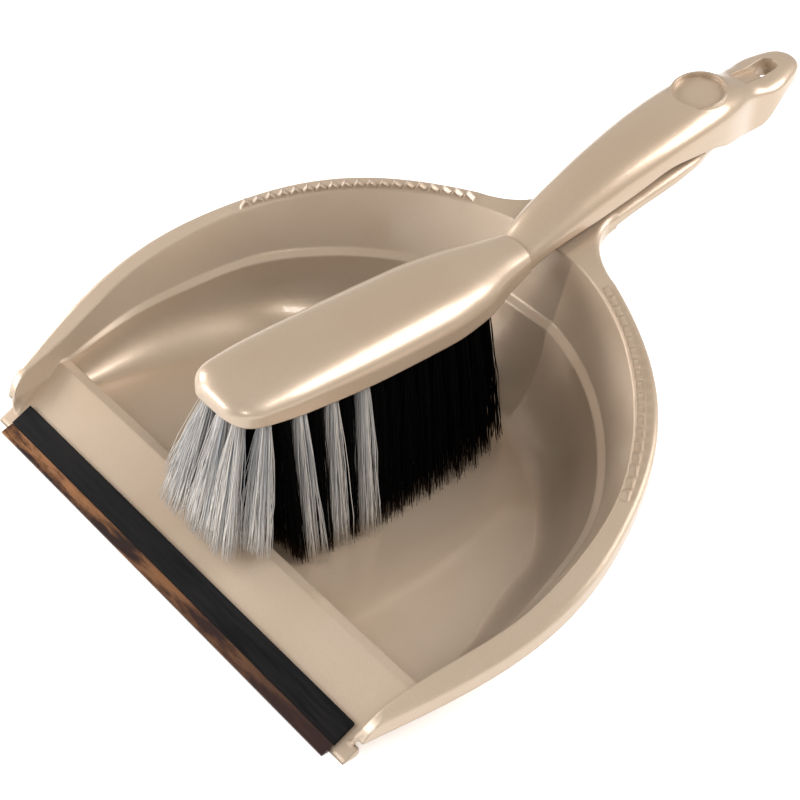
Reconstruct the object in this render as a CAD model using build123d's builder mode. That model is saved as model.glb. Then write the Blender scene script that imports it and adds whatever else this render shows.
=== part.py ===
from build123d import *
import math
import os

os.makedirs("parts", exist_ok=True)

# ---- overall frame: +Y lip to handle, +Z up, X = 0 is the symmetry plane, table at Z = 0 ----

ORIGIN_Y = 162.8                # middle of the overall length, measured from the lip edge

# pan moulding
WALL = 2.2                      # moulded wall thickness
FLOOR_Z = 2.2                   # top of the pan floor, its underside is the rest face
RIM_Z0 = 11.7                   # rim plane height at Y = 0
RIM_SLOPE = 0.306               # rise of the rim plane per mm of Y
FRONT_Y = 9.0                   # front end of the side cheeks
LEDGE_Z0 = 8.0                  # ledge ring plane height at Y = 0
LEDGE_SLOPE = 0.19
LEDGE_DROP = 1.6                # the ledge falls this much across its width
LEDGE_INSET = 7.5               # wall leans in this much from rim to ledge
LEDGE_WIDTH = 3.0
COVE_WIDTH = 22.0               # the cove is a quarter ellipse from the ledge down to the flat floor
COVE_STEPS = 4
TAPER_Y0 = 28.0                 # insets fade out toward the front cheeks
TAPER_LENGTH = 55.0
TAPER_MIN = 0.28
RIM_INNER = [(108.0, FRONT_Y), (109.0, 32.0), (116.5, 70.0), (114.5, 98.0),
             (107.0, 123.0), (86.0, 151.5), (61.0, 171.0), (36.0, 182.5)]
FACET_HALF = 17.6               # flat facet of the back wall under the handle
FACET_Y = 187.0
FLANGE_OUTER = [(109.0, FRONT_Y), (117.5, 34.0), (125.3, 70.0), (124.5, 93.0),
                (116.5, 120.0), (102.5, 145.5), (86.0, 163.0), (59.5, 180.0), (38.0, 189.5)]
NECK_FILLET = [(38.0, 189.5), (24.0, 195.5), (16.0, 203.5), (14.0, 214.0)]
SKIRT_DEPTH = 7.0
EDGE_RADIUS = 2.0               # rounding of the flange's outer edge
EDGE_STEPS = 3
CHEEK_ARC = [(8.6, 3.4), (12.4, 12.6), (24.0, 19.2)]

# ramp
RAMP_FOOT_Y = 3.2
RAMP_CREST = (32.6, 14.6)
RAMP_CREST_BACK = (36.4, 14.4)
RAMP_DROP_FOOT_Y = 40.5
RAMP_LAND_Y = 47.0
RAMP_HALF = 107.0               # half width of the nose in front of the side cheeks
NOSE_LAP = 1.0
RAMP_REACH = 125.0              # drawn wider than the bowl, then kept inside it
UNDER_RAMP_HALF = 98.0
RAMP_PLATE = 2.4

# teeth of the two cleaning combs
TOOTH_COUNT = 19
TOOTH_HEIGHT = 3.0
TOOTH_PITCH = 5.1
TOOTH_RADIAL = 2.4
TOOTH_GAP = 1.2                 # distance from the inner rim edge to the teeth
COMB_START = 0.02
COMB_END = 0.98
COMB_LINE = [(36.0, 182.5), (61.0, 171.0), (86.0, 151.5), (107.0, 123.0)]

# pan handle stations: (Y, half width, underside Z, shoulder Z, top Z)
PAN_HANDLE = [(190.0, 15.0, 63.0, 67.2, 69.4), (204.0, 13.8, 68.0, 72.0, 74.4),
              (222.0, 14.8, 74.5, 77.0, 79.8), (245.0, 15.8, 80.0, 82.5, 85.6),
              (258.0, 14.8, 82.6, 84.6, 87.2), (268.0, 12.0, 83.6, 86.0, 88.8),
              (278.0, 10.2, 84.0, 87.6, 91.2), (292.0, 7.6, 84.4, 88.0, 91.4),
              (308.0, 6.6, 85.6, 88.4, 91.0), (316.0, 5.6, 87.6, 89.4, 91.0)]
HANDLE_MOUTH = 8.0              # the hollows reach this far below the lower edges
HANG_HOLE_D = 8.0
HANG_HOLE_Y = 310.5

# front lip
LIP_HALF = 100.0
LIP_BACK_Y = 13.9
LIP_SPLIT_Y = 5.4               # black channel in front ends here, blade shows beyond
LIP_THICK = 1.5
BLADE_THICK = 1.0

# brush head stations: (Y, half width, lower edge Z, shoulder Z, top Z)
HEAD = [(29.8, 7.0, 66.2, 67.4, 69.4), (30.9, 10.4, 65.8, 67.8, 71.6),
        (33.2, 13.6, 64.8, 68.6, 73.4), (39.0, 17.2, 64.4, 68.4, 74.8),
        (58.0, 19.6, 62.8, 67.6, 76.2), (92.0, 20.6, 61.0, 66.0, 76.8),
        (124.0, 20.2, 60.6, 65.6, 76.8), (145.0, 17.4, 61.2, 66.2, 76.4),
        (160.0, 12.6, 63.0, 67.4, 75.6), (172.6, 9.6, 65.0, 68.6, 74.6)]
HEAD_WALL = 2.2
CROWN_POWER = 0.90              # fullness of the rounded crowns, 1.0 would be an ellipse
CROWN_SPANS = 12
BLOCK_GAP = 0.4
BLOCK_RECESS = 0.8

# brush handle stations: (Y, half width, lower edge Z, shoulder Z, top Z)
GRIP = [(172.8, 9.0, 65.4, 68.2, 73.6), (184.0, 10.8, 71.4, 73.8, 80.2),
        (204.0, 12.8, 77.2, 80.6, 89.4), (222.0, 14.2, 82.4, 86.4, 95.8),
        (245.0, 15.6, 88.6, 92.6, 101.6), (262.0, 16.0, 88.4, 95.6, 104.8),
        (273.0, 15.4, 86.2, 97.0, 106.0), (284.0, 13.0, 84.5, 97.6, 104.8),
        (293.0, 10.8, 82.4, 97.2, 102.4), (301.0, 11.8, 84.4, 97.2, 101.8),
        (308.0, 12.0, 92.0, 98.0, 102.4), (314.0, 10.6, 95.4, 98.8, 103.2),
        (320.0, 8.6, 96.6, 99.6, 103.4), (324.0, 6.0, 97.6, 99.8, 102.8), (325.6, 3.4, 98.4, 99.8, 101.8)]
GRIP_WALL = 2.2
STATION_STEP = 6.0
DIMPLE_Y = 269.0
DIMPLE_D = 21.0
DIMPLE_DEPTH = 1.5
DIMPLE_RIM = 1.0
DIMPLE_RIM_RISE = 0.45
DIMPLE_TILT = 12.0
DIMPLE_Z = 105.3
SLOT_HALF = 4.3
SLOT_Y0 = 292.5
SLOT_Z_FRONT = 100.2
SLOT_Z_BACK = 98.6
TONGUE_HALF = 4.6               # spigot of the handle inside the head neck
TONGUE_LENGTH = 12.0
TONGUE_Z0 = 67.6
TONGUE_Z1 = 71.0

# tufts
ROW_COUNT = 17
TUFTS_PER_ROW = 5
ROW_Y0 = 36.8
ROW_PITCH = 6.9
FRONT_TUFTS = 3                 # the rounded front has room for a short row
FRONT_SHARE = 0.75
WHITE_ROWS = (0, 3, 5, 7)       # counted from 0; of row 1 only the two end tufts are white
TUFT_SIDES = 12
TUFT_ROOT_D = 4.2
TUFT_TIP_LONG = 11.0
TUFT_TIP_SHORT = 5.0
TIP_Z = 2.8
TIP_SPLAY = 1.78
TIP_LEAN = 8.4                  # most that the middle rows lean toward the front
RAMP_TIPS = {0: (22.5, 12.8), 1: (30.4, 15.9)}   # (tip Y, tip Z) of the rows that bend over the ramp
ROOT_SEAT = 2.6
ROOT_EDGE = 0.6
ANCHOR_D = 2.2
ANCHOR_H = 0.6


def save(shape, label):
    """Move a finished piece to the shared origin, name it and write its file."""
    placed = shape.moved(Location((0, -ORIGIN_Y, 0)))
    placed.label = label
    export_step(placed, "parts/" + label + ".step")


def smooth_section(half, low, shoulder, top):
    """Closed section: flat underside, upright sides, superellipse crown."""
    crown = []
    for i in range(CROWN_SPANS + 1):
        angle = math.pi * i / CROWN_SPANS
        across, rise = math.cos(angle), abs(math.sin(angle))
        crown.append((math.copysign(abs(across) ** CROWN_POWER, across) * half,
                      shoulder + rise ** CROWN_POWER * (top - shoulder)))
    crown[0] = (half, shoulder)
    crown[-1] = (-half, shoulder)
    Line((-half, low), (half, low))
    Line((half, low), crown[0])
    Spline(*crown)
    Line(crown[-1], (-half, low))


def incline(z0, slope):
    """Plane through (0, 0, z0) rising with +Y; returns plane and the length factor along it."""
    angle = math.atan(slope)
    plane = Plane(origin=(0, 0, z0), x_dir=(1, 0, 0), z_dir=(0, -math.sin(angle), math.cos(angle)))
    return plane, 1.0 / math.cos(angle)


def inset_half(points, distance, fading=True):
    """Half outline moved inward; the movement can fade toward the front cheeks."""
    moved = []
    last = len(points) - 1
    for i, (x, y) in enumerate(points):
        a = points[max(i - 1, 0)]
        b = points[min(i + 1, last)]
        tx, ty = b[0] - a[0], b[1] - a[1]
        size = math.hypot(tx, ty)
        fade = 1.0
        if fading and distance > 0:
            fade = min(max((y - TAPER_Y0) / TAPER_LENGTH, TAPER_MIN), 1.0)
        nx, ny = -ty / size, tx / size
        if i == 0:
            nx, ny = -1.0, 0.0
        moved.append((x + nx * distance * fade, y + ny * distance * fade))
    return moved


def bowl_outline(distance, factor):
    """Closed outline of the bowl, spline on both sides, flat facet at the back."""
    half = inset_half(RIM_INNER, distance)
    facet_y = FACET_Y - distance
    right = [(x, y * factor) for x, y in half] + [(FACET_HALF, facet_y * factor)]
    left = [(-x, y) for x, y in right]
    Spline(*right)
    Line(right[-1], left[-1])
    Spline(*left)
    Line(left[0], right[0])


def bowl_solid(grow, drop):
    """Rim, ledge, cove and floor lofts; grow moves walls outward, drop lowers the planes."""
    with BuildPart() as bowl:
        levels = [(RIM_Z0 + 6.0 - drop, RIM_SLOPE, 0.0), (RIM_Z0 - drop, RIM_SLOPE, 0.0),
                  (LEDGE_Z0 - drop, LEDGE_SLOPE, LEDGE_INSET),
                  (LEDGE_Z0 - LEDGE_DROP - drop, LEDGE_SLOPE, LEDGE_INSET + LEDGE_WIDTH)]
        for upper, lower in zip(levels[:-1], levels[1:]):
            for z0, slope, distance in (upper, lower):
                plane, factor = incline(z0, slope)
                with BuildSketch(plane):
                    with BuildLine():
                        bowl_outline(distance - grow, factor)
                    make_face()
            loft()
        ledge_z0, ledge_slope, ledge_inset = levels[-1]
        cove = []
        for step in range(COVE_STEPS + 1):
            turn = math.pi / 2 * step / COVE_STEPS
            left = 1.0 - math.sin(turn)
            cove.append((FLOOR_Z - drop + left * (ledge_z0 - FLOOR_Z + drop), ledge_slope * left,
                         ledge_inset + COVE_WIDTH * (1.0 - math.cos(turn))))
        for z0, slope, distance in cove:
            plane, factor = incline(z0, slope)
            with BuildSketch(plane):
                with BuildLine():
                    bowl_outline(distance - grow, factor)
                make_face()
        loft()
    return bowl.part


def smooth_stations(stations, step):
    """Monotone cubic reading of a station list, so lofts follow it without overshoot."""
    ys = [row[0] for row in stations]
    count = len(stations)
    slopes = []
    for column in range(1, 5):
        values = [row[column] for row in stations]
        secant = [(values[i + 1] - values[i]) / (ys[i + 1] - ys[i]) for i in range(count - 1)]
        tangent = [secant[0]]
        for a, b in zip(secant[:-1], secant[1:]):
            tangent.append(2 * a * b / (a + b) if a * b > 0 else 0.0)
        tangent.append(secant[-1])
        slopes.append(tangent)
    dense = []
    for i in range(count - 1):
        span = ys[i + 1] - ys[i]
        pieces = max(1, round(span / step))
        for k in range(pieces):
            t = k / pieces
            row = [ys[i] + t * span]
            for column in range(1, 5):
                a, b = stations[i][column], stations[i + 1][column]
                ta, tb = slopes[column - 1][i] * span, slopes[column - 1][i + 1] * span
                row.append(a * (1 + 2 * t) * (1 - t) ** 2 + b * t * t * (3 - 2 * t)
                           + ta * t * (1 - t) ** 2 + tb * t * t * (t - 1))
            dense.append(tuple(row))
    dense.append(stations[-1])
    return dense


def at_height(stations, y, column):
    """Linear reading of one column of a station list at Y."""
    for a, b in zip(stations[:-1], stations[1:]):
        if a[0] <= y <= b[0]:
            t = (y - a[0]) / (b[0] - a[0])
            return a[column] + t * (b[column] - a[column])
    return stations[-1][column]


def station_solid(stations, side=0.0, low=0.0, top=0.0):
    """Loft of arch sections along Y; side, low and top shift the section edges."""
    with BuildPart() as body:
        for y, half, z_low, z_shoulder, z_top in stations:
            with BuildSketch(Plane(origin=(0, y, 0), x_dir=(-1, 0, 0), z_dir=(0, 1, 0))):
                with BuildLine():
                    smooth_section(half - side, z_low - low, z_shoulder - top, z_top - top)
                make_face()
        loft()
    return body.part


def side_prism(profile, half):
    """Profile drawn as (Y, Z), extruded along X to both sides."""
    with BuildPart() as prism:
        with BuildSketch(Plane.YZ):
            with BuildLine():
                Polyline(*profile, close=True)
            make_face()
        extrude(amount=half, both=True)
    return prism.part


# ---------------------------------------------------------------- dust pan

def flange_outline(distance, front_y, end_y, factor):
    """Closed outer outline of the flange with the neck fillets."""
    half = inset_half(FLANGE_OUTER, distance, False)
    neck = inset_half(NECK_FILLET, distance, False)
    neck[0] = half[-1]
    neck[-1] = (NECK_FILLET[-1][0] - distance, end_y)
    right = [(x, y * factor) for x, y in half]
    throat = [(x, y * factor) for x, y in neck]
    for sign in (1, -1):
        Line((sign * right[0][0], front_y * factor), (sign * right[0][0], right[0][1]))
        Spline(*[(sign * x, y) for x, y in right])
        Spline(*[(sign * x, y) for x, y in throat])
    Line((-throat[-1][0], throat[-1][1]), throat[-1])
    Line((-right[0][0], front_y * factor), (right[0][0], front_y * factor))


def flange_sketch(inset, drop, front_y, end_y):
    """Outline of the flange on the rim plane lowered by drop."""
    plane, factor = incline(RIM_Z0 - drop, RIM_SLOPE)
    with BuildSketch(plane) as outline:
        with BuildLine():
            flange_outline(inset, front_y, end_y, factor)
        make_face()
    return outline.sketch


def flange_and_skirt():
    """Rim flange with a rounded outer edge and a skirt, open toward the bowl and from below."""
    front, end = FRONT_Y - 1.0, NECK_FILLET[-1][1]
    turns = [math.pi / 2 * step / EDGE_STEPS for step in range(EDGE_STEPS + 1)]
    edge = [(EDGE_RADIUS * (1.0 - math.sin(turn)), EDGE_RADIUS * (1.0 - math.cos(turn))) for turn in turns]
    plane, factor = incline(RIM_Z0, RIM_SLOPE)
    with BuildPart() as ring:
        for upper, lower in zip(edge[:-1], edge[1:]):
            for inset, drop in (upper, lower):
                add(flange_sketch(inset, drop, front, end))
            loft(ruled=True)
        add(flange_sketch(0.0, EDGE_RADIUS, front, end))
        extrude(amount=SKIRT_DEPTH - EDGE_RADIUS, dir=(0, 0, -1))
        add(flange_sketch(WALL, WALL, FRONT_Y - 4.0, end + 3.0))
        extrude(amount=SKIRT_DEPTH, dir=(0, 0, -1), mode=Mode.SUBTRACT)
        with BuildSketch(plane):
            with BuildLine():
                bowl_outline(0.0, factor)
            make_face()
        extrude(amount=2 * SKIRT_DEPTH, both=True, mode=Mode.SUBTRACT)
    return ring.part


def comb_teeth():
    """Two rows of triangular teeth standing on the flange along the inner rim edge."""
    plane, factor = incline(RIM_Z0, RIM_SLOPE)
    curve = plane.from_local_coords(Spline(*[(x, y * factor) for x, y in COMB_LINE]))
    up = plane.z_dir
    with BuildPart() as teeth:
        for i in range(TOOTH_COUNT):
            u = COMB_START + (COMB_END - COMB_START) * i / (TOOTH_COUNT - 1)
            along = curve.tangent_at(u)
            outward = along.cross(up) * -1.0
            if outward.X < 0:
                outward = outward * -1.0
            base = curve.position_at(u) + outward * TOOTH_GAP
            for sign in (1, -1):
                spot = Vector(sign * base.X, base.Y, base.Z)
                away = Vector(sign * outward.X, outward.Y, outward.Z)
                seat = Plane(origin=spot, x_dir=up.cross(away), z_dir=away)
                rise = 1.0 if seat.y_dir.dot(up) > 0 else -1.0
                with BuildSketch(seat):
                    with BuildLine():
                        Polyline((-TOOTH_PITCH / 2, -rise * 0.3), (TOOTH_PITCH / 2, -rise * 0.3),
                                 (TOOTH_PITCH / 2, 0), (0, rise * TOOTH_HEIGHT),
                                 (-TOOTH_PITCH / 2, 0), close=True)
                    make_face()
                extrude(amount=TOOTH_RADIAL)
    return teeth.part


def ramp_prism(half):
    crest, back = RAMP_CREST, RAMP_CREST_BACK
    profile = [(RAMP_FOOT_Y, 0.0), crest, back, (RAMP_DROP_FOOT_Y, FLOOR_Z), (RAMP_LAND_Y, FLOOR_Z),
               (RAMP_LAND_Y, 0.0), (RAMP_DROP_FOOT_Y - RAMP_PLATE * 0.8, 0.0),
               (back[0] - RAMP_PLATE * 0.8, back[1] - RAMP_PLATE),
               (crest[0] + 0.4, crest[1] - RAMP_PLATE), (RAMP_FOOT_Y + RAMP_PLATE * 2.2, 0.0)]
    return side_prism(profile, half)


def cheek_front():
    """Everything in front of and above the rounded front end of the side cheeks."""
    start, middle, end = CHEEK_ARC
    with BuildPart() as cutter:
        with BuildSketch(Plane.YZ):
            with BuildLine():
                ThreePointArc(start, middle, end)
                Polyline(end, (end[0], end[1] + 40.0), (-10.0, end[1] + 40.0), (-10.0, start[1]), start)
            make_face()
        extrude(amount=140.0, both=True)
    return cutter.part


bowl_inside = bowl_solid(0.0, 0.0)
bowl_outside = bowl_solid(WALL, WALL)
rim_plane, rim_factor = incline(RIM_Z0, RIM_SLOPE)
under_ramp = [(0.0, -1.0), (RAMP_DROP_FOOT_Y - RAMP_PLATE * 0.8, -1.0),
              (RAMP_DROP_FOOT_Y - RAMP_PLATE * 0.8, FLOOR_Z + 0.6),
              (RAMP_CREST_BACK[0] - 1.0, RAMP_CREST_BACK[1] - 1.0), (RAMP_CREST[0], RAMP_CREST[1] - 1.0),
              (0.0, 1.0)]
with BuildPart() as ramp_in_bowl:
    add(ramp_prism(RAMP_REACH))
    add(bowl_outside, mode=Mode.INTERSECT)
with BuildPart() as ramp_nose:
    add(ramp_prism(RAMP_HALF))
    with Locations((0, FRONT_Y + NOSE_LAP, 0)):
        Box(4 * RAMP_REACH, 2 * RAMP_REACH, 2 * RAMP_REACH, align=(Align.CENTER, Align.MIN, Align.CENTER),
            mode=Mode.SUBTRACT)
ramp = ramp_in_bowl.part + ramp_nose.part
with BuildPart() as pan_body:
    add(bowl_outside)
    add(bowl_inside, mode=Mode.SUBTRACT)
    with BuildSketch(rim_plane):
        Rectangle(400.0, 600.0)
    extrude(amount=40.0, mode=Mode.SUBTRACT)
    add(side_prism(under_ramp, UNDER_RAMP_HALF), mode=Mode.SUBTRACT)
    add(ramp)
    add(flange_and_skirt())
    add(cheek_front(), mode=Mode.SUBTRACT)
    add(comb_teeth())
    add(station_solid(smooth_stations(PAN_HANDLE, STATION_STEP)))
    add(station_solid(smooth_stations(PAN_HANDLE[1:-2], STATION_STEP), WALL, HANDLE_MOUTH, WALL), mode=Mode.SUBTRACT)
    with Locations((0, HANG_HOLE_Y, 90.0)):
        Cylinder(HANG_HOLE_D / 2, 40.0, mode=Mode.SUBTRACT)
save(pan_body.part, "pan_body")


# ---------------------------------------------------------------- front lip

def ramp_z(y):
    return (y - RAMP_FOOT_Y) * RAMP_CREST[1] / (RAMP_CREST[0] - RAMP_FOOT_Y)


channel_profile = [(LIP_SPLIT_Y, ramp_z(LIP_SPLIT_Y) + 0.06), (LIP_BACK_Y, ramp_z(LIP_BACK_Y) + 0.06),
                   (LIP_BACK_Y - 0.2, ramp_z(LIP_BACK_Y) + LIP_THICK),
                   (LIP_SPLIT_Y - 0.3, ramp_z(LIP_SPLIT_Y) + LIP_THICK)]
lip_channel = side_prism(channel_profile, LIP_HALF)
save(lip_channel, "lip_channel")

blade_profile = [(0.0, 0.05), (RAMP_FOOT_Y - 0.2, 0.05), (LIP_SPLIT_Y - 0.35, ramp_z(LIP_SPLIT_Y) - 0.05),
                 (LIP_SPLIT_Y - 0.35, ramp_z(LIP_SPLIT_Y) + BLADE_THICK), (0.1, 0.5)]
lip_blade = side_prism(blade_profile, LIP_HALF)
save(lip_blade, "lip_blade")


# ---------------------------------------------------------------- brush head

head_stations = smooth_stations(HEAD, STATION_STEP)
recess_stations = [row for row in head_stations if HEAD[2][0] <= row[0] <= HEAD[-2][0]]
with BuildPart() as brush_head:
    add(station_solid(head_stations))
    add(station_solid(recess_stations, HEAD_WALL, 4.0, HEAD_WALL), mode=Mode.SUBTRACT)
    with Locations((0, HEAD[-1][0] - TONGUE_LENGTH / 2 + 0.5, (TONGUE_Z0 + TONGUE_Z1) / 2)):
        Box(TONGUE_HALF * 2 + 0.2, TONGUE_LENGTH + 1.0, TONGUE_Z1 - TONGUE_Z0 + 0.2, mode=Mode.SUBTRACT)
save(brush_head.part, "brush_head")


def block_bottom(y):
    return at_height(head_stations, y, 2) + BLOCK_RECESS


block_stations = []
for y, half, z_low, z_shoulder, z_top in recess_stations:
    y_seat = y
    if y == recess_stations[0][0]:
        y_seat = y + BLOCK_GAP
    if y == recess_stations[-1][0]:
        y_seat = y - BLOCK_GAP
    block_stations.append((y_seat, half - HEAD_WALL - BLOCK_GAP, z_low + BLOCK_RECESS,
                           z_shoulder - HEAD_WALL - BLOCK_GAP, z_top - HEAD_WALL - BLOCK_GAP))


def tuft_rows():
    """Every tuft as (row, colour, root X, Y, root Z, tip X, tip Y, tip Z, tip length along X)."""
    tufts = []
    for row in range(ROW_COUNT):
        y = ROW_Y0 + row * ROW_PITCH
        lean = TIP_LEAN * math.sin(math.pi * row / (ROW_COUNT - 1))
        y_tip, z_tip = RAMP_TIPS.get(row, (y - lean, TIP_Z))
        room = at_height(head_stations, y, 1) - HEAD_WALL - BLOCK_GAP - ROOT_EDGE - TUFT_ROOT_D / 2
        count = TUFTS_PER_ROW
        if row == 0:
            count = FRONT_TUFTS
            room = room * FRONT_SHARE
        pitch = room * 2 / (count - 1)
        for index in range(count):
            x = index * pitch - room
            at_end = index in (0, count - 1)
            colour = "white" if row in WHITE_ROWS or (row == 1 and at_end) else "black"
            tufts.append((row, colour, x, y, block_bottom(y), x * TIP_SPLAY, y_tip, z_tip,
                          min(TUFT_TIP_LONG, pitch * TIP_SPLAY * 0.94)))
    return tufts


def oval(x, y, z, radius_x, radius_y):
    """Sketch of one level of a tuft: an oval with straight sides."""
    with BuildSketch(Plane.XY.offset(z)) as level:
        with BuildLine():
            turns = [2 * math.pi * i / TUFT_SIDES for i in range(TUFT_SIDES)]
            Polyline(*[(x + radius_x * math.cos(a), y + radius_y * math.sin(a)) for a in turns], close=True)
        make_face()
    return level.sketch


def tuft_solid(x, y, z_root, x_tip, y_tip, z_tip, length):
    """Root seated in its hole, fanning out to an oval tip."""
    radius = TUFT_ROOT_D / 2
    with BuildPart() as tuft:
        add(oval(x, y, z_root, radius, radius))
        extrude(amount=ROOT_SEAT)
        add(oval(x, y, z_root, radius, radius))
        add(oval(x_tip, y_tip, z_tip, length / 2, TUFT_TIP_SHORT / 2))
        loft(ruled=True)
    return tuft.part


tufts = tuft_rows()
with BuildPart() as tuft_block:
    add(station_solid(block_stations))
    for row, colour, x, y, z_root, x_tip, y_tip, z_tip, length in tufts:
        with Locations((x, y, z_root)):
            Cylinder(TUFT_ROOT_D / 2 + 0.05, 2 * (ROOT_SEAT + ANCHOR_H + 0.2), mode=Mode.SUBTRACT)
save(tuft_block.part, "tuft_block")

for row in range(ROW_COUNT):
    groups = {"white": [], "black": []}
    for tuft_row, colour, x, y, z_root, x_tip, y_tip, z_tip, length in tufts:
        if tuft_row == row:
            groups[colour].append(tuft_solid(x, y, z_root, x_tip, y_tip, z_tip, length))
    for colour, group in groups.items():
        if group:
            label = colour + "_tufts_row_" + str(row + 1).zfill(2)
            save(Compound(children=[tuft.solid() for tuft in group]), label)

staples = []
for row, colour, x, y, z_root, x_tip, y_tip, z_tip, length in tufts:
    with BuildPart() as staple:
        with Locations((x, y, z_root + ROOT_SEAT + ANCHOR_H / 2 + 0.05)):
            Cylinder(ANCHOR_D / 2, ANCHOR_H)
    staples.append(staple.part.solid())
save(Compound(children=staples), "tuft_anchors")


# ---------------------------------------------------------------- brush handle

dimple_plane = Plane(origin=(0, DIMPLE_Y, DIMPLE_Z), x_dir=(1, 0, 0),
                     z_dir=(0, -math.sin(math.radians(DIMPLE_TILT)), math.cos(math.radians(DIMPLE_TILT))))
with BuildPart() as brush_handle:
    add(station_solid(smooth_stations(GRIP, STATION_STEP)))
    add(station_solid(smooth_stations(GRIP[1:-4], STATION_STEP), GRIP_WALL, HANDLE_MOUTH,
                      GRIP_WALL), mode=Mode.SUBTRACT)
    with BuildSketch(Plane.XY.offset(SLOT_Z_BACK - GRIP_WALL - 0.6)):
        with Locations((0, (SLOT_Y0 - 3.0 + HANG_HOLE_Y + 5.0) / 2)):
            Rectangle(2 * (SLOT_HALF + GRIP_WALL), HANG_HOLE_Y + 8.0 - SLOT_Y0)
    extrude(amount=4.6)
    with BuildSketch(Plane.YZ):
        with BuildLine():
            Polyline((SLOT_Y0, SLOT_Z_FRONT), (HANG_HOLE_Y, SLOT_Z_BACK), (HANG_HOLE_Y, 120.0),
                     (SLOT_Y0, 120.0), close=True)
        make_face()
    extrude(amount=SLOT_HALF, both=True, mode=Mode.SUBTRACT)
    with BuildSketch(Plane.XY.offset(SLOT_Z_BACK)):
        with Locations((0, HANG_HOLE_Y)):
            Circle(SLOT_HALF)
    extrude(amount=20.0, mode=Mode.SUBTRACT)
    with Locations((0, HANG_HOLE_Y, 95.0)):
        Cylinder(HANG_HOLE_D / 2, 30.0, mode=Mode.SUBTRACT)
    with BuildSketch(dimple_plane.offset(DIMPLE_RIM_RISE)):
        Circle(DIMPLE_D / 2 + DIMPLE_RIM)
    extrude(amount=-DIMPLE_RIM_RISE - DIMPLE_DEPTH - GRIP_WALL)
    with BuildSketch(dimple_plane.offset(DIMPLE_RIM_RISE + 1.0)):
        Circle(DIMPLE_D / 2)
    extrude(amount=-DIMPLE_RIM_RISE - 1.0 - DIMPLE_DEPTH, mode=Mode.SUBTRACT)
    with Locations((0, GRIP[0][0] - TONGUE_LENGTH / 2 + 1.5, (TONGUE_Z0 + TONGUE_Z1) / 2)):
        Box(TONGUE_HALF * 2, TONGUE_LENGTH + 3.0, TONGUE_Z1 - TONGUE_Z0)
save(brush_handle.part, "brush_handle")
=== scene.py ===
import math

import bpy
import numpy as np
from mathutils import Matrix, Vector


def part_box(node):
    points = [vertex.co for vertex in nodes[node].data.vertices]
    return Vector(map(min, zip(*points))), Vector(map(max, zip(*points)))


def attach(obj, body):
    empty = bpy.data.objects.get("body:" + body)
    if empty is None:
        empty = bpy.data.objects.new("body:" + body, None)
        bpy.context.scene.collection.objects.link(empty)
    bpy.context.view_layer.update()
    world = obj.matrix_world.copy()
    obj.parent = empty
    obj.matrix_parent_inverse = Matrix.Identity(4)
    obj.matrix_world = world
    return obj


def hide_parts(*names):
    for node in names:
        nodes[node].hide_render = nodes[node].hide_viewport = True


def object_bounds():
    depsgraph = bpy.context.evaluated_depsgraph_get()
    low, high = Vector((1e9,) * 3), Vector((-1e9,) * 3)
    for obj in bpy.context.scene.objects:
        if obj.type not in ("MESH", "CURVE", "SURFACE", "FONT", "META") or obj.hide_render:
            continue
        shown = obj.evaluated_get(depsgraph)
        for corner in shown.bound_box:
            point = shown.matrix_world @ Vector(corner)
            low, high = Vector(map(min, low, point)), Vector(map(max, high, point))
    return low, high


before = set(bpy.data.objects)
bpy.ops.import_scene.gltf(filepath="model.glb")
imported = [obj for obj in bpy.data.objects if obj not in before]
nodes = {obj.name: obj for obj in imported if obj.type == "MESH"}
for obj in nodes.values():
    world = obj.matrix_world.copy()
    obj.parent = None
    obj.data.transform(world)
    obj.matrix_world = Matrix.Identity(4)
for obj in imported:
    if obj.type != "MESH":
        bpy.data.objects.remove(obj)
cad_low, cad_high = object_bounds()

MM = 0.001
SEED = 11

# camera: the view from the front right, a little rolled
AZIMUTH = 47.54
ELEVATION = 40.98
ROLL = 3.13
DISTANCE = 0.70
TARGET = (-0.0080, -0.0378, 0.0137)
LENS = 80.44
SENSOR = 36.0

# tufts, as they stand in the brush
ROW_COUNT = 17
TUFTS_PER_ROW = 5
FRONT_TUFTS = 3
ROOT_RADIUS = 2.1 * MM
ROOT_SEAT = 2.6 * MM
SPLAY = 1.78
TIP_HALF_LONG = 5.5 * MM
TIP_HALF_SHORT = 2.5 * MM
TIP_FILL = 0.47                     # half tip length as a share of the tip spacing

# champagne plastic: two tints that flow into each other, and the rounding of the moulded edges
WARM = (0.54, 0.41, 0.295)
COOL = (0.60, 0.475, 0.36)
PAN_EDGE = 1.5 * MM
BRUSH_EDGE = 1.0 * MM

# stage: half width of the floor, its drop below the object, the world and the area lights
FLOOR_HALF = 4.0
FLOOR_DROP = 0.2 * MM
WORLD_COLOUR = (1.0, 0.955, 0.90, 1.0)
WORLD_STRENGTH = 0.42
LIGHTS = (                          # name, direction, distance, size, power, colour
    ("ceiling", (0.47, 0.51, 0.72), 1.6, (0.9, 0.9), 20.0, (1.0, 1.0, 1.0)),
    ("window", (-0.56, -0.78, 0.30), 1.7, (1.1, 0.6), 15.0, (0.95, 0.97, 1.0)),
    ("side", (-0.92, -0.25, 0.38), 1.7, (0.7, 0.5), 10.0, (1.0, 0.97, 0.93)),
    ("front", (0.50, -0.58, 0.64), 1.7, (0.3, 0.3), 4.0, (1.0, 1.0, 1.0)),
)


# ---------------------------------------------------------------- small node helpers

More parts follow.
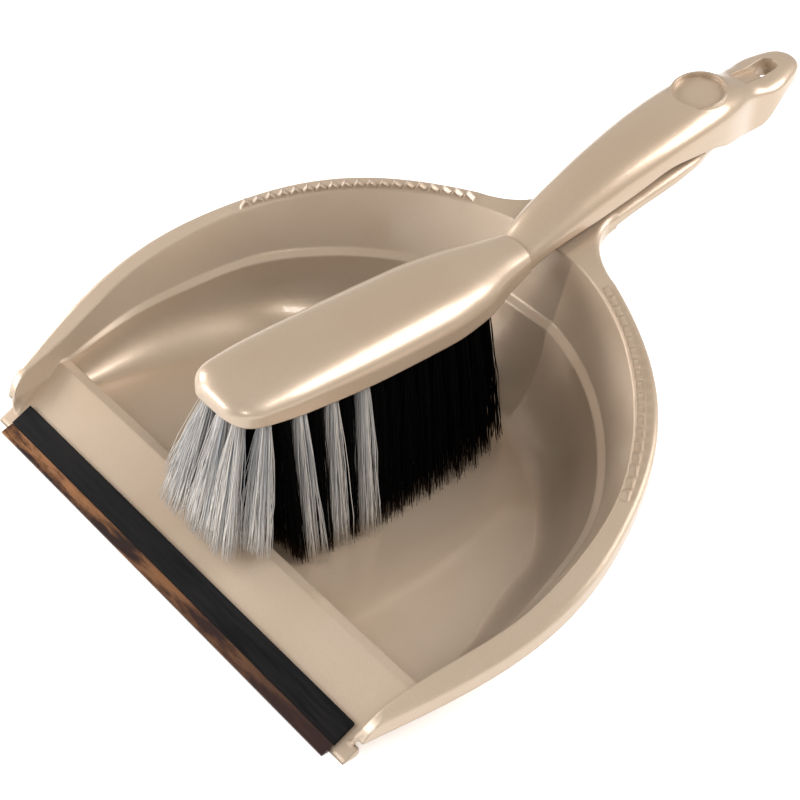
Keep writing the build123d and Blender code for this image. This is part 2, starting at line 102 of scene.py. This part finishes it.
class Graph:
    """A material's node tree with short calls for making and joining nodes."""

    def __init__(self, name):
        self.material = bpy.data.materials.new(name)
        self.material.use_nodes = True
        self.tree = self.material.node_tree
        self.shader = self.tree.nodes["Principled BSDF"]
        self.place = self.add("ShaderNodeTexCoord").outputs["Object"]

    def add(self, kind, **inputs):
        node = self.tree.nodes.new(kind)
        for key, value in inputs.items():
            node.inputs[key.replace("_", " ")].default_value = value
        return node

    def join(self, source, target):
        self.tree.links.new(source, target)

    def scaled_place(self, scale):
        mapping = self.add("ShaderNodeMapping")
        mapping.inputs["Scale"].default_value = scale
        self.join(self.place, mapping.inputs["Vector"])
        return mapping.outputs["Vector"]

    def noise(self, scale, detail=2.0, roughness=0.5, stretch=(1.0, 1.0, 1.0)):
        node = self.add("ShaderNodeTexNoise", Scale=scale, Detail=detail, Roughness=roughness)
        self.join(self.scaled_place(stretch), node.inputs["Vector"])
        return node.outputs["Fac"]

    def spread(self, value, low, high, from_low=0.35, from_high=0.65):
        node = self.add("ShaderNodeMapRange")
        node.inputs["From Min"].default_value = from_low
        node.inputs["From Max"].default_value = from_high
        node.inputs["To Min"].default_value = low
        node.inputs["To Max"].default_value = high
        self.join(value, node.inputs["Value"])
        return node.outputs["Result"]

    def mix(self, factor, first, second, blend="MIX"):
        node = self.add("ShaderNodeMix")
        node.data_type = "RGBA"
        node.blend_type = blend
        for socket, value in ((node.inputs[0], factor), (node.inputs[6], first), (node.inputs[7], second)):
            if isinstance(value, bpy.types.NodeSocket):
                self.join(value, socket)
            elif socket.type == "RGBA":
                socket.default_value = (*value, 1.0)
            else:
                socket.default_value = value
        return node.outputs[2]

    def attribute(self, name):
        node = self.add("ShaderNodeAttribute")
        node.attribute_name = name
        return node.outputs["Fac"]

    def bump(self, height, strength, distance, normal=None):
        node = self.add("ShaderNodeBump", Strength=strength, Distance=distance)
        self.join(height, node.inputs["Height"])
        if normal is not None:
            self.join(normal, node.inputs["Normal"])
        return node.outputs["Normal"]

    def soft_edges(self, radius):
        node = self.add("ShaderNodeBevel", Radius=radius)
        node.samples = 4
        return node.outputs["Normal"]

    def set(self, **values):
        for key, value in values.items():
            socket = self.shader.inputs[key.replace("_", " ")]
            if isinstance(value, bpy.types.NodeSocket):
                self.join(value, socket)
            elif socket.type == "RGBA":
                socket.default_value = (*value, 1.0)
            else:
                socket.default_value = value


# ---------------------------------------------------------------- materials

def pearl_plastic(name, warm, cool, edge):
    """Champagne pearl: fine flakes in a clear gloss skin, with slow flow marks in the colour."""
    g = Graph(name)
    flow = g.spread(g.noise(16.0, 3.0, 0.55, (1.0, 0.55, 1.0)), 0.0, 1.0)
    flakes = g.noise(1900.0, 1.0, 0.5)
    tint = g.mix(flow, warm, cool)
    sparkle = g.mix(g.spread(flakes, 0.0, 1.0), (0.95, 0.95, 0.95), (1.0, 1.0, 1.0))
    colour = g.mix(1.0, tint, sparkle, "MULTIPLY")
    skin = g.bump(g.noise(240.0, 2.0), 0.05, 0.0004, g.soft_edges(edge))
    g.set(Base_Color=colour, Metallic=0.38, Roughness=g.spread(flakes, 0.32, 0.37), Normal=skin,
          Coat_Weight=0.55, Coat_Roughness=0.09, Coat_IOR=1.48, Specular_IOR_Level=0.6)
    return g.material


def lip_rubber():
    """Black rubber channel with faint drag marks along the lip."""
    g = Graph("lip_rubber")
    drag = g.noise(60.0, 4.0, 0.6, (0.6, 9.0, 9.0))
    colour = g.mix(g.spread(drag, 0.0, 1.0), (0.004, 0.004, 0.005), (0.011, 0.010, 0.010))
    normal = g.bump(drag, 0.12, 0.0003, g.soft_edges(0.0004))
    g.set(Base_Color=colour, Roughness=g.spread(drag, 0.42, 0.6), Normal=normal, Specular_IOR_Level=0.08)
    return g.material


def blade_painted_reflection(low_x, high_x):
    """Glossy dark lip blade with a painted reflection of a wooden table: brown mottled patches at its left
    end, fading toward the right into dark maroon painted shade.
    """
    g = Graph("blade_painted_reflection")
    split = g.add("ShaderNodeSeparateXYZ")
    g.join(g.place, split.inputs["Vector"])
    # painted reflection of a wooden table: strongest at the blade's left end, gone at its right end
    painted_reflection_fade = g.spread(split.outputs["X"], 1.0, 0.0, low_x, high_x)
    mottle_and_reflection = g.spread(g.noise(34.0, 5.0, 0.62, (1.0, 5.0, 5.0)), 0.0, 1.0, 0.42, 0.62)
    share = g.add("ShaderNodeMath")
    share.operation = "MULTIPLY"
    g.join(painted_reflection_fade, share.inputs[0])
    g.join(mottle_and_reflection, share.inputs[1])
    # dark maroon is painted shade under the lip, and brown is the painted wood reflection laid over it
    colour = g.mix(share.outputs[0], (0.020, 0.0045, 0.003), (0.42, 0.17, 0.05))
    normal = g.bump(mottle_and_reflection, 0.1, 0.0002)
    g.set(Base_Color=colour, Roughness=g.spread(mottle_and_reflection, 0.16, 0.34), Normal=normal, Coat_Weight=0.5,
          Coat_Roughness=0.1)
    return g.material


def block_plastic():
    """Dark filler block that holds the tufts, with a matt moulded skin."""
    g = Graph("block_plastic")
    grain = g.noise(700.0, 3.0)
    colour = g.mix(g.spread(grain, 0.0, 1.0), (0.016, 0.016, 0.017), (0.034, 0.033, 0.032))
    g.set(Base_Color=colour, Roughness=g.spread(grain, 0.55, 0.72), Normal=g.bump(grain, 0.2, 0.0002))
    return g.material


def drawn_wire():
    """Steel anchors with drawing lines."""
    g = Graph("drawn_wire")
    lines = g.noise(900.0, 2.0, 0.5, (1.0, 1.0, 12.0))
    colour = g.mix(g.spread(lines, 0.0, 1.0), (0.42, 0.42, 0.43), (0.60, 0.59, 0.57))
    g.set(Base_Color=colour, Metallic=1.0, Roughness=g.spread(lines, 0.25, 0.4))
    return g.material


def white_filament():
    """Silvery grey filaments: bluish grey strands as painted shade among warm lit strands, paler toward
    the frayed tips, and darkened near the roots with painted shade.
    """
    g = Graph("white_filament")
    strand = g.attribute("strand")
    along = g.attribute("along")
    # painted shade: the bluish grey strands stand for shadowed filaments, and the warm ones for lit
    # filaments
    colour = g.mix(g.spread(strand, 0.0, 1.0, 0.0, 1.0), (0.33, 0.35, 0.38), (0.78, 0.72, 0.65))
    colour = g.mix(g.spread(along, 0.0, 0.55, 0.55, 1.0), colour, (0.80, 0.75, 0.69))
    # painted shade under the head: the filaments darken toward their roots
    colour = g.mix(g.spread(along, 0.65, 0.0, 0.0, 0.22), colour, (0.12, 0.13, 0.15))
    g.set(Base_Color=colour, Roughness=0.38, Specular_IOR_Level=0.6)
    return g.material


def black_filament():
    """Black filaments that turn dark brown at their ragged tips."""
    g = Graph("black_filament")
    strand = g.attribute("strand")
    along = g.attribute("along")
    dark = g.mix(g.spread(strand, 0.0, 1.0, 0.0, 1.0), (0.0006, 0.0006, 0.0007), (0.0022, 0.002, 0.002))
    colour = g.mix(g.spread(along, 0.0, 0.8, 0.9, 1.0), dark, (0.030, 0.012, 0.006))
    g.set(Base_Color=colour, Roughness=0.6, Specular_IOR_Level=0.06)
    return g.material


def stage_floor():
    """Plain pale table with the faintest mottling."""
    g = Graph("stage_floor")
    colour = g.mix(g.spread(g.noise(3.0, 2.0), 0.0, 1.0), (0.90, 0.895, 0.885), (0.93, 0.925, 0.92))
    g.set(Base_Color=colour, Roughness=0.7, Specular_IOR_Level=0.2, Emission_Color=(1.0, 0.99, 0.975),
          Emission_Strength=0.35)
    return g.material


def dress(node, material):
    """Give a carried-over CAD node its material in every slot."""
    mesh = nodes[node].data
    mesh.materials.clear()
    mesh.materials.append(material)


# ---------------------------------------------------------------- bristles

FILAMENTS = {"white": 170, "black": 100}
FAN = {"white": 1.45, "black": 1.2}
FILAMENT_RADIUS = {"white": 0.155 * MM, "black": 0.17 * MM}
FRAY = {"white": 1.0 * MM, "black": 0.75 * MM}
STRAY_SHARE = 0.03
STRAY_REACH = 3.2
RINGS = 8
SIDES = 3
FILL_Y = {"white": 2.0, "black": 1.45}      # the white rows fan wide over the black rows between
BLACK_BETWEEN = 0.75                # fill of the black rows up to the last white one
LAST_WHITE_ROW = 8
CLIP_LOW, CLIP_HIGH = -3.3 * MM, 4.2 * MM
LENGTH_SCATTER = 1.3 * MM
BOW = 1.4 * MM
TIP_TAPER = 0.55


def coordinates(node):
    return np.array([v.co for v in nodes[node].data.vertices], float)


def row_facts(names):
    """Root and tip places of a row of tufts, read from its CAD solids."""
    points = np.concatenate([coordinates(n) for n in names])
    top, bottom = points[:, 2].max(), points[:, 2].min()
    roots = points[points[:, 2] > top - 0.1 * MM]
    tips = points[points[:, 2] < bottom + 0.1 * MM]
    room = abs(roots[:, 0]).max() - ROOT_RADIUS
    return {
        "room": room,
        "top": top,
        "bottom": bottom,
        "root_y": (roots[:, 1].min() + roots[:, 1].max()) / 2,
        "tip_y": (tips[:, 1].min() + tips[:, 1].max()) / 2,
    }


def filament_paths(facts, x_root, spacing, colour, fill_y, rng):
    """Centre lines of one tuft's filaments, from inside the block to the frayed tips."""
    count = FILAMENTS[colour]
    reach = np.sqrt(rng.random(count))
    turn = rng.random(count) * 2 * math.pi
    across, ahead = reach * np.cos(turn), reach * np.sin(turn)
    half_long = min(TIP_HALF_LONG, spacing * SPLAY * TIP_FILL)
    mouth = facts["top"] - ROOT_SEAT
    wander = rng.normal(0.0, FRAY[colour], (count, 2))
    strays = rng.random(count) < STRAY_SHARE
    wander[strays] *= STRAY_REACH
    drift = np.clip(ahead * TIP_HALF_SHORT * fill_y + wander[:, 1], CLIP_LOW, CLIP_HIGH)
    tip = np.stack([
        x_root * SPLAY + across * half_long * FAN[colour] + wander[:, 0],
        facts["tip_y"] + drift,
        facts["bottom"] + abs(rng.normal(0.0, LENGTH_SCATTER, count)),
    ], axis=1)
    root = np.stack([
        x_root + across * ROOT_RADIUS * 0.93,
        facts["root_y"] + ahead * ROOT_RADIUS * 0.93,
        np.full(count, mouth),
    ], axis=1)
    paths = np.empty((count, RINGS, 3))
    paths[:, 0] = root
    paths[:, 0, 2] = facts["top"]
    bow = rng.normal(0.35, 0.5, (count, 1)) * BOW
    outward = np.stack([across, ahead, np.zeros(count)], axis=1)
    crimp = rng.normal(0.0, 0.25 * MM, (count, RINGS, 2))
    for ring in range(1, RINGS):
        t = (ring - 1) / (RINGS - 2)
        paths[:, ring] = root + (tip - root) * t + outward * bow * math.sin(math.pi * t)
        paths[:, ring, :2] += crimp[:, ring] * min(t * 2, 1.0)
    return paths


def filament_mesh(name, paths, radius, rng):
    """Thin closed tubes round the centre lines, with a strand number and the place along it."""
    count = len(paths)
    angles = np.arange(SIDES) * 2 * math.pi / SIDES
    ring_radius = np.full(RINGS, radius)
    ring_radius[-1] = radius * TIP_TAPER
    circle = np.stack([np.cos(angles), np.sin(angles), np.zeros(SIDES)], axis=1)
    points = paths[:, :, None, :] + circle[None, None] * ring_radius[None, :, None, None]
    first = np.arange(count)[:, None, None] * RINGS * SIDES
    ring = np.arange(RINGS - 1)[None, :, None] * SIDES
    side = np.arange(SIDES)[None, None, :]
    after = (side + 1) % SIDES
    low, low_next = first + ring + side, first + ring + after
    quads = np.stack([low, low + SIDES, low_next + SIDES, low_next], axis=-1).reshape(-1, 4)
    start = np.arange(count)[:, None] * RINGS * SIDES + np.arange(SIDES)
    end = start[:, ::-1] + (RINGS - 1) * SIDES
    mesh = bpy.data.meshes.new(name)
    mesh.from_pydata(points.reshape(-1, 3).tolist(), [], quads.tolist() + start.tolist() + end.tolist())
    mesh.shade_smooth()
    strand = np.repeat(rng.random(count), RINGS * SIDES).astype(np.float32)
    place = np.tile(np.repeat(np.linspace(0.0, 1.0, RINGS), SIDES), count).astype(np.float32)
    for label, values in (("strand", strand), ("along", place)):
        mesh.attributes.new(label, "FLOAT", "POINT").data.foreach_set("value", values)
    return mesh


def make_bristles(materials):
    """One piece for each tuft node, standing for its plain CAD solids."""
    for row in range(1, ROW_COUNT + 1):
        names = {c: f"{c}_tufts_row_{row:02d}" for c in ("white", "black")}
        names = {c: n for c, n in names.items() if n in nodes}
        if not names:
            continue
        facts = row_facts(list(names.values()))
        count = FRONT_TUFTS if row == 1 else TUFTS_PER_ROW
        spacing = facts["room"] * 2 / (count - 1)
        for colour, node in names.items():
            rng = np.random.default_rng(SEED + row * 10 + len(colour + node))
            between = colour == "black" and row <= LAST_WHITE_ROW
            fill_y = BLACK_BETWEEN if between else FILL_Y[colour]
            paths = []
            for index in range(count):
                at_end = index in (0, count - 1)
                if len(names) == 2 and at_end != (colour == "white"):
                    continue
                x_root = index * spacing - facts["room"]
                paths.append(filament_paths(facts, x_root, spacing, colour, fill_y, rng))
            mesh = filament_mesh(f"{colour}_bristles_{row:02d}", np.concatenate(paths),
                                 FILAMENT_RADIUS[colour], rng)
            mesh.materials.append(materials[colour])
            piece = bpy.data.objects.new(f"{colour}_bristles_{row:02d}", mesh)
            bpy.context.scene.collection.objects.link(piece)
            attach(piece, "brush")
            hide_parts(node)


# ---------------------------------------------------------------- camera, stage and light

def make_camera():
    azimuth, elevation, roll = (math.radians(v) for v in (AZIMUTH, ELEVATION, ROLL))
    back = Vector((math.sin(azimuth) * math.cos(elevation), -math.cos(azimuth) * math.cos(elevation),
                   math.sin(elevation)))
    right = Vector((math.cos(azimuth), math.sin(azimuth), 0.0))
    up = back.cross(right)
    turned_right = right * math.cos(roll) + up * math.sin(roll)
    turned_up = up * math.cos(roll) - right * math.sin(roll)
    data = bpy.data.cameras.new("view")
    data.lens = LENS
    data.sensor_width = SENSOR
    data.clip_start, data.clip_end = 0.01, 30.0
    camera = bpy.data.objects.new("view", data)
    bpy.context.scene.collection.objects.link(camera)
    camera.matrix_world = Matrix.Translation(Vector(TARGET) + back * DISTANCE) @ Matrix(
        (turned_right, turned_up, back)).transposed().to_4x4()
    bpy.context.scene.camera = camera


def soft_light(name, direction, distance, size, power, colour):
    data = bpy.data.lights.new(name, "AREA")
    data.shape = "RECTANGLE"
    data.size, data.size_y = size
    data.energy = power
    data.color = colour
    light = bpy.data.objects.new(name, data)
    toward = Vector(direction).normalized()
    light.location = toward * distance
    light.rotation_mode = "QUATERNION"
    light.rotation_quaternion = toward.to_track_quat("Z", "Y")
    bpy.context.scene.collection.objects.link(light)


def make_stage():
    half = FLOOR_HALF
    z = cad_low.z - FLOOR_DROP
    mesh = bpy.data.meshes.new("floor")
    mesh.from_pydata([(-half, -half, z), (half, -half, z), (half, half, z), (-half, half, z)], [],
                     [(0, 1, 2, 3)])
    mesh.materials.append(stage_floor())
    floor = bpy.data.objects.new("floor", mesh)
    bpy.context.scene.collection.objects.link(floor)
    world = bpy.data.worlds.new("studio")
    world.use_nodes = True
    world.node_tree.nodes["Background"].inputs["Color"].default_value = WORLD_COLOUR
    world.node_tree.nodes["Background"].inputs["Strength"].default_value = WORLD_STRENGTH
    bpy.context.scene.world = world
    for light in LIGHTS:
        soft_light(*light)
    bpy.context.scene.view_settings.view_transform = "Standard"


make_camera()
make_stage()
pan_plastic = pearl_plastic("pan_plastic", WARM, COOL, PAN_EDGE)
brush_plastic = pearl_plastic("brush_plastic", WARM, COOL, BRUSH_EDGE)
blade_low, blade_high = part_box("lip_blade")
dress("pan_body", pan_plastic)
dress("brush_head", brush_plastic)
dress("brush_handle", brush_plastic)
dress("lip_channel", lip_rubber())
dress("lip_blade", blade_painted_reflection(blade_low.x, blade_high.x))
dress("tuft_block", block_plastic())
dress("tuft_anchors", drawn_wire())
make_bristles({"white": white_filament(), "black": black_filament()})
